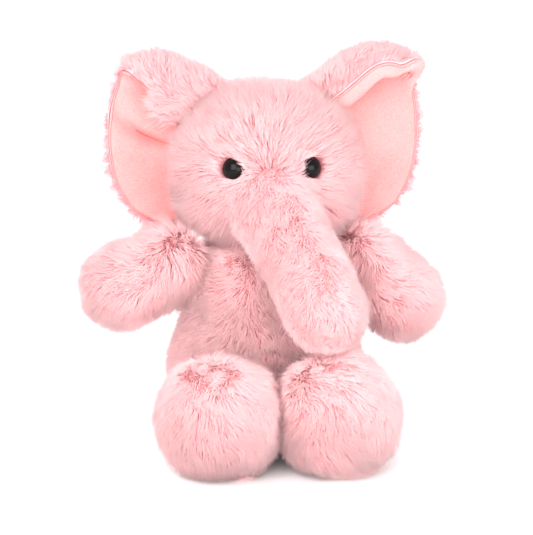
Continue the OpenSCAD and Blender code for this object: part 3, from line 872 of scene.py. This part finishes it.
def ear_paths(side, rows, columns):
    """Points of an ear's middle sheet.

    Each path leaves the head and crosses the cupped ear to its rim. At the top of the ear it then turns
    forwards round a small roll and hangs down as a flap, square to the rim. On the left ear it then turns up
    again. The heading is the angle turned so far, and its cosine and sine summed along the path give the
    way over and the way forward.
    """
    hinge = JOINTS["ear_left_flap" if side == LEFT else "ear_right_flap"]
    turn = np.linspace(-1, 1, columns)
    step = np.linspace(0, 1, rows)[:, None]
    rim = through(RIM[side], turn)
    flap = through(FLAP[side], turn)[:, 0]
    turn_up = through(TURN_UP[side], turn)[:, 0]
    root_up = EAR_ROOT_HALF * turn
    height = (hinge[2] + root_up - HEAD_CENTRE[2]) / HEAD_HALF_H
    head_half = HEAD_HALF_W * np.sqrt(1 - (EAR_PLANE / HEAD_HALF_H) ** 2 - height ** 2)
    root_out = head_half - side * hinge[0] - 1 * MM
    root = np.stack([root_out, root_up], axis=-1)
    flat = np.linalg.norm(rim - root, axis=-1)
    way = (rim - root) / flat[:, None]
    slope = np.gradient(rim, axis=0)
    square = unit(np.stack([slope[:, 1], -slope[:, 0]], axis=-1))
    folded = np.minimum(1, flap / (3 * MM))
    raised = np.minimum(1, turn_up / (3 * MM))
    turn_1 = np.pi * folded * ROLL_R
    turn_2 = 0.85 * np.pi * raised * 0.7 * ROLL_R
    total = flat + turn_1 + flap + turn_2 + turn_up
    a = step * total
    bend_1 = np.clip((a - flat) / np.maximum(turn_1, 1e-6), 0, 1) * np.pi * folded
    bend_2 = np.clip((a - flat - turn_1 - flap) / np.maximum(turn_2, 1e-6), 0, 1) * 0.85 * np.pi * raised
    heading = bend_1 - bend_2
    length = np.diff(np.maximum(a - flat, 0), axis=0, prepend=0 * a[:1])
    over = np.cumsum(np.cos(heading) * length, axis=0)
    forward = np.cumsum(np.sin(heading) * length, axis=0)
    share = np.clip(a / flat, 0, 1)
    cup = CUP * np.sin(np.pi * share) - RIM_LEAN * share ** 2
    for at_root, at_rim, width, depth in CREASES[side]:
        crease = bump(turn, at_root + (at_rim - at_root) * share, width)
        cup = cup + depth * MM * crease * np.sin(np.pi * share)
    place = root + way * np.minimum(a, flat)[..., None] + square * over[..., None]
    return np.stack([
        hinge[0] + side * place[..., 0],
        hinge[1] + cup - forward,
        hinge[2] + place[..., 1],
    ], axis=-1)


def comb_ear(side):
    """Out from the head to the ear's rim."""
    hinge = JOINTS["ear_left_flap" if side == LEFT else "ear_right_flap"]
    return lambda points, normals: points - (hinge - np.array([side * 20 * MM, 0, 0]))


def over_the_rim(side):
    """Pile at an ear's edge curls forward over the seam, below the flap, so that it fringes the lining."""
    def lean(points, row, column):
        up = column if side == LEFT else 1 - column
        return np.where(up < 0.71, np.clip((row - 0.88) / 0.12, 0, 1), 0) * 3.5 * MM
    return lean


def short_inside(points, row, column):
    """Pile crushed short inside the left ear's turned-up edge."""
    return np.where((row > 0.8) & (row < 0.94) & (column > 0.7), 0.15, 1.0)


def ear_lining(side, word, middle, facing):
    """The short-nap lining: a thin closed sheet in front of the ear's middle sheet, cut as a flat oval."""
    near = middle - EAR_LINING_OFF * facing
    points, faces = welded_shell(near, near - LINING_T * facing)
    piece = add_mesh(f"ear_{word}_lining_sheet", points, faces, LINING)
    settle(piece, f"ear_{word}", [f"ear_{word}_lining"])


for side, word in SIDES:
    middle = ear_paths(side, 70, 110)
    if side == RIGHT:
        middle = middle[:, ::-1]
    facing = facing_of(middle)
    fur_side = middle + EAR_FUR_OFF * facing
    fur_patch(f"ear_{word}_plush", [f"ear_{word}_back"], f"ear_{word}", fur_side, facing, comb_ear(side),
              pile=9 * MM, stand=3.5 * MM, seed=90 + side, length_at=short_inside if side == LEFT else None,
              lean_at=over_the_rim(side))
    ear_lining(side, word, middle, facing)

# ---- filling, seat bag and pellets ----

FIBRE_LUMP = 0.8 * MM
BAG_T = 0.6 * MM
PUCKER = 0.5 * MM
PUCKERS = 26


def filling(name, nodes, body, form, inset):
    """Fibrefill packed inside a form: the form drawn in, with the soft lumps that teased fibre makes."""
    rows, columns = 40, 61
    grid, facing = form.grid(rows, columns)
    lumps = 0.5 + 0.5 * smooth_noise(grid.reshape(-1, 3), 14 * MM, 7).reshape(rows, columns, 1)
    grid = grid - (inset + FIBRE_LUMP * lumps) * facing
    grid[:, -1] = grid[:, 0]
    grid[0], grid[-1] = grid[0].mean(0), grid[-1].mean(0)
    first, faces = weld(grid.reshape(-1, 3), grid_triangles(rows, columns))
    piece = add_mesh(name, grid.reshape(-1, 3)[first], faces, FIBREFILL)
    settle(piece, body, nodes)


filling("torso_fibrefill", ["torso_stuffing"], "torso", torso, 3.5 * MM)
filling("head_fibrefill", ["head_stuffing"], "head", head, 3.2 * MM)
for name, body, form, _, _ in TRUNK_PARTS:
    filling(name + "_fibrefill", [name + "_stuffing"], body, form, 3.2 * MM)
for side, word in SIDES:
    filling(f"arm_{word}_fibrefill", [f"arm_{word}_stuffing"], f"arm_{word}", arms[side], 3.2 * MM)
    filling(f"leg_{word}_fibrefill", [f"leg_{word}_stuffing"], f"leg_{word}", legs[side], 3.2 * MM)


def pellet_bag():
    """A bag of thin cloth, an egg in its node's box, puckered along the seam round its middle."""
    low, high = (np.array(corner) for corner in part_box("pellet_bag"))
    half = (high - low) / 2
    form = Form(oval(half[0], half[2]), (low + high) / 2, UP, (0, 1, 0))
    rows, columns = 40, 81
    grid, facing = form.grid(rows, columns)
    near_seam = bump(np.linspace(0, 1, rows), 0.5, 0.12)[:, None]
    puckers = PUCKER * (1 + np.cos(2 * np.pi * np.linspace(0, 1, columns) * PUCKERS)) * near_seam
    grid = grid - puckers[..., None] * facing
    grid[:, -1] = grid[:, 0]
    points, faces = welded_shell(grid, grid - BAG_T * facing)
    piece = add_mesh("pellet_bag_cloth", points, faces, BAG_CLOTH)
    settle(piece, "torso", ["pellet_bag"])


def pellets():
    """Moulded pellets in the seat bag: small squat balls on a jittered lattice that fills an egg."""
    low, high = (np.array(corner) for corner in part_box("pellets"))
    rng = np.random.default_rng(17)
    radius = 2.3 * MM
    pitch = 5.2 * MM
    axes = [np.arange(a + radius + 0.1 * MM, b - radius, pitch) for a, b in zip(low, high)]
    places = np.stack(np.meshgrid(*axes, indexing="ij"), axis=-1).reshape(-1, 3)
    places = places + rng.uniform(-0.3, 0.3, places.shape) * MM
    middle = (low + high) / 2
    room = (high - low) / 2 - 1.2 * MM
    places = places[((((places - middle) / room) ** 2).sum(1)) < 1]
    tilt, turn = np.meshgrid(np.linspace(0, np.pi, 6), np.linspace(0, 2 * np.pi, 9), indexing="ij")
    ball = np.stack([np.sin(tilt) * np.cos(turn), np.sin(tilt) * np.sin(turn), 0.8 * np.cos(tilt)], axis=-1)
    first, faces = weld(ball.reshape(-1, 3), grid_triangles(6, 9, flip=True))
    ball = radius * ball.reshape(-1, 3)[first]
    points = (places[:, None] + ball * rng.uniform(0.9, 1, (len(places), 1, 1))).reshape(-1, 3)
    triangles = (faces + len(ball) * np.arange(len(places))[:, None, None]).reshape(-1, 3)
    piece = add_mesh("seat_pellets", points, triangles, PELLET)
    settle(piece, "torso", ["pellets"])


pellet_bag()
pellets()

# ---- CAD pieces kept: threads, label and lock washers ----

for name, cad in frame["nodes"].items():
    finish = (
        THREAD if name.endswith("_seam") else
        RIBBON if name == "care_label" else
        NYLON if name.startswith("eye_washer") else None
    )
    if finish is not None:
        cad.data.materials.clear()
        cad.data.materials.append(finish)

# ---- floor ----

bpy.ops.mesh.primitive_plane_add(size=2 * FLOOR_HALF)
floor = bpy.context.object
floor.name = "floor"
floor_material, _, floor_shader = material("pale_studio_floor", Base_Color=linear("#F6F6F6"), Roughness=0.9)
floor.data.materials.append(floor_material)
